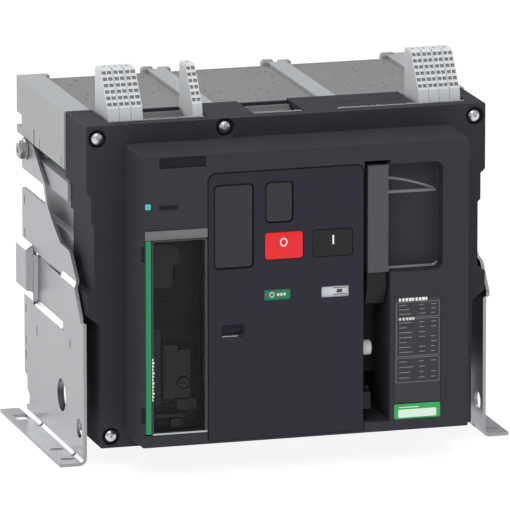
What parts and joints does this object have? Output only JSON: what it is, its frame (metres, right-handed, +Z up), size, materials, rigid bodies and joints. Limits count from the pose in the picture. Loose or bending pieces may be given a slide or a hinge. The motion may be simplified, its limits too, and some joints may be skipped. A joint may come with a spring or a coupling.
{
  "type": "air circuit breaker",
  "caption": "Fixed three-pole air circuit breaker with side brackets, arc chutes, charging handle, push buttons and a trip unit behind a clear swinging cover.",
  "frame": {"origin": "on the mounting surface under the feet, at the middle of the bounding box", "axes": "+X to the right of someone facing the controls, the front faces -Y, +Z up"},
  "size_m": [0.422, 0.297, 0.352],
  "materials": {
    "zinc_steel": "zinc plated, satin",
    "bolt_steel": "plated, satin",
    "grey_moulding": "fine moulded texture",
    "chute_moulding": "coarse moulded texture",
    "tinned_copper": "tin plated, satin",
    "potted_case": "matt",
    "contact_copper": "bare copper, satin",
    "handle_moulding": "satin",
    "black_moulding": "fine moulded texture",
    "fascia_moulding": "fine moulded texture",
    "red_button": "satin gloss",
    "black_button": "satin gloss",
    "green_flag": "satin gloss",
    "grey_flag": "satin gloss",
    "trip_unit_case": "satin",
    "smoked_cover": "clear, smoked",
    "green_strip": "satin gloss",
    "pull_bar_moulding": "satin",
    "lamp_lens": "diffusing lens",
    "plate_print": "printed film",
    "green_label": "printed film",
    "chrome_screw": "polished",
    "terminal_moulding": "fine moulded texture"
  },
  "bodies": {
    "frame": {"left_side_bracket": "zinc_steel", "left_bracket_bolt": "bolt_steel", "right_side_bracket": "zinc_steel", "right_bracket_bolt": "bolt_steel", "rear_case": "grey_moulding", "front_case": "grey_moulding", "arc_chute_left": "chute_moulding", "upper_connector_left": "tinned_copper", "lower_connector_left": "tinned_copper", "current_transformer_left": "potted_case", "arc_chute_middle": "chute_moulding", "upper_connector_middle": "tinned_copper", "lower_connector_middle": "tinned_copper", "current_transformer_middle": "potted_case", "arc_chute_right": "chute_moulding", "upper_connector_right": "tinned_copper", "lower_connector_right": "tinned_copper", "current_transformer_right": "potted_case", "mechanism_frame": "zinc_steel", "closing_spring": "bolt_steel", "handle_pin": "bolt_steel", "front_cover": "black_moulding", "mechanism_fascia": "fascia_moulding", "operation_counter": "black_moulding", "key_lock_blank": "black_moulding", "padlock_blank": "black_moulding", "trip_unit": "trip_unit_case", "ready_lamp": "lamp_lens", "rating_plate": "plate_print", "green_label": "green_label", "cover_screw_top_left": "chrome_screw", "cover_screw_top_middle": "chrome_screw", "cover_screw_top_right": "chrome_screw", "cover_screw_bottom_left": "chrome_screw", "gallery_blank_left": "black_moulding", "gallery_blank_right": "black_moulding", "terminal_block_1": "terminal_moulding", "terminal_block_2": "terminal_moulding", "terminal_block_3": "terminal_moulding", "terminal_block_4": "terminal_moulding", "terminal_block_5": "terminal_moulding", "terminal_block_6": "terminal_moulding", "terminal_block_7": "terminal_moulding", "terminal_block_8": "terminal_moulding"},
    "charging_handle": {"charging_handle": "handle_moulding"},
    "camshaft": {"camshaft": "bolt_steel"},
    "charge_flag": {"charge_flag": "grey_flag"},
    "position_flag": {"position_flag": "green_flag"},
    "open_button": {"open_button": "red_button"},
    "close_button": {"close_button": "black_button"},
    "trip_cover": {"trip_unit_cover": "smoked_cover", "hinge_strip": "green_strip", "pull_bar": "pull_bar_moulding"},
    "pole_shaft": {"pole_shaft": "bolt_steel"},
    "contact_left": {"moving_contact_left": "contact_copper"},
    "link_left": {"contact_link_left": "bolt_steel"},
    "contact_middle": {"moving_contact_middle": "contact_copper"},
    "link_middle": {"contact_link_middle": "bolt_steel"},
    "contact_right": {"moving_contact_right": "contact_copper"},
    "link_right": {"contact_link_right": "bolt_steel"}
  },
  "joints": [
    {"name": "handle_pull", "type": "hinge", "parent": "frame", "child": "charging_handle", "pos_m": [0.0675, -0.122, 0.16], "axis": [1, 0, 0], "range_deg": [0, 110], "stiffness_Nm_per_rad": 0.15, "springref_deg": -28.65},
    {"name": "camshaft_turn", "type": "hinge", "parent": "frame", "child": "camshaft", "pos_m": [0, -0.1, 0.15], "axis": [1, 0, 0], "range_deg": [0, 34], "deforming": ["closing_spring"]},
    {"name": "charge_flag_drop", "type": "slide", "parent": "frame", "child": "charge_flag", "axis": [0, 0, -1], "range_m": [0, 0.012]},
    {"name": "open_push", "type": "slide", "parent": "frame", "child": "open_button", "axis": [0, 1, 0], "range_m": [0, 0.004], "stiffness_N_per_m": 400, "springref_m": -0.002},
    {"name": "close_push", "type": "slide", "parent": "frame", "child": "close_button", "axis": [0, 1, 0], "range_m": [0, 0.004], "stiffness_N_per_m": 400, "springref_m": -0.002},
    {"name": "trip_cover_swing", "type": "hinge", "parent": "frame", "child": "trip_cover", "pos_m": [-0.1489, -0.1485, 0.129], "axis": [0, 0, -1], "range_deg": [0, 110]},
    {"name": "pole_shaft_turn", "type": "hinge", "parent": "frame", "child": "pole_shaft", "pos_m": [0, -0.048, 0.14], "axis": [-1, 0, 0], "range_deg": [0, 50], "stiffness_Nm_per_rad": 3, "springref_deg": -28.65},
    {"name": "position_flag_drop", "type": "slide", "parent": "frame", "child": "position_flag", "axis": [0, 0, -1], "range_m": [0, 0.012]},
    {"name": "contact_left_swing", "type": "hinge", "parent": "frame", "child": "contact_left", "pos_m": [-0.115, 0.03, 0.105], "axis": [-1, 0, 0], "range_deg": [0, 18.2]},
    {"name": "link_left_turn", "type": "hinge", "parent": "contact_left", "child": "link_left", "pos_m": [-0.115, 0.00656, 0.16257], "axis": [1, 0, 0], "range_deg": [0, 18.2]},
    {"name": "contact_middle_swing", "type": "hinge", "parent": "frame", "child": "contact_middle", "pos_m": [0, 0.03, 0.105], "axis": [-1, 0, 0], "range_deg": [0, 18.2]},
    {"name": "link_middle_turn", "type": "hinge", "parent": "contact_middle", "child": "link_middle", "pos_m": [0, 0.00656, 0.16257], "axis": [1, 0, 0], "range_deg": [0, 18.2]},
    {"name": "contact_right_swing", "type": "hinge", "parent": "frame", "child": "contact_right", "pos_m": [0.115, 0.03, 0.105], "axis": [-1, 0, 0], "range_deg": [0, 18.2]},
    {"name": "link_right_turn", "type": "hinge", "parent": "contact_right", "child": "link_right", "pos_m": [0.115, 0.00656, 0.16257], "axis": [1, 0, 0], "range_deg": [0, 18.2]}
  ],
  "couplings": [
    {"joint": "camshaft_turn", "follows": "handle_pull", "ratio": 0.3},
    {"joint": "charge_flag_drop", "follows": "handle_pull", "m_per_rad": 0.0062},
    {"joint": "position_flag_drop", "follows": "pole_shaft_turn", "m_per_rad": 0.0137},
    {"joint": "contact_left_swing", "follows": "pole_shaft_turn", "ratio": 0.36},
    {"joint": "link_left_turn", "follows": "pole_shaft_turn", "ratio": 0.36},
    {"joint": "contact_middle_swing", "follows": "pole_shaft_turn", "ratio": 0.36},
    {"joint": "link_middle_turn", "follows": "pole_shaft_turn", "ratio": 0.36},
    {"joint": "contact_right_swing", "follows": "pole_shaft_turn", "ratio": 0.36},
    {"joint": "link_right_turn", "follows": "pole_shaft_turn", "ratio": 0.36}
  ]
}
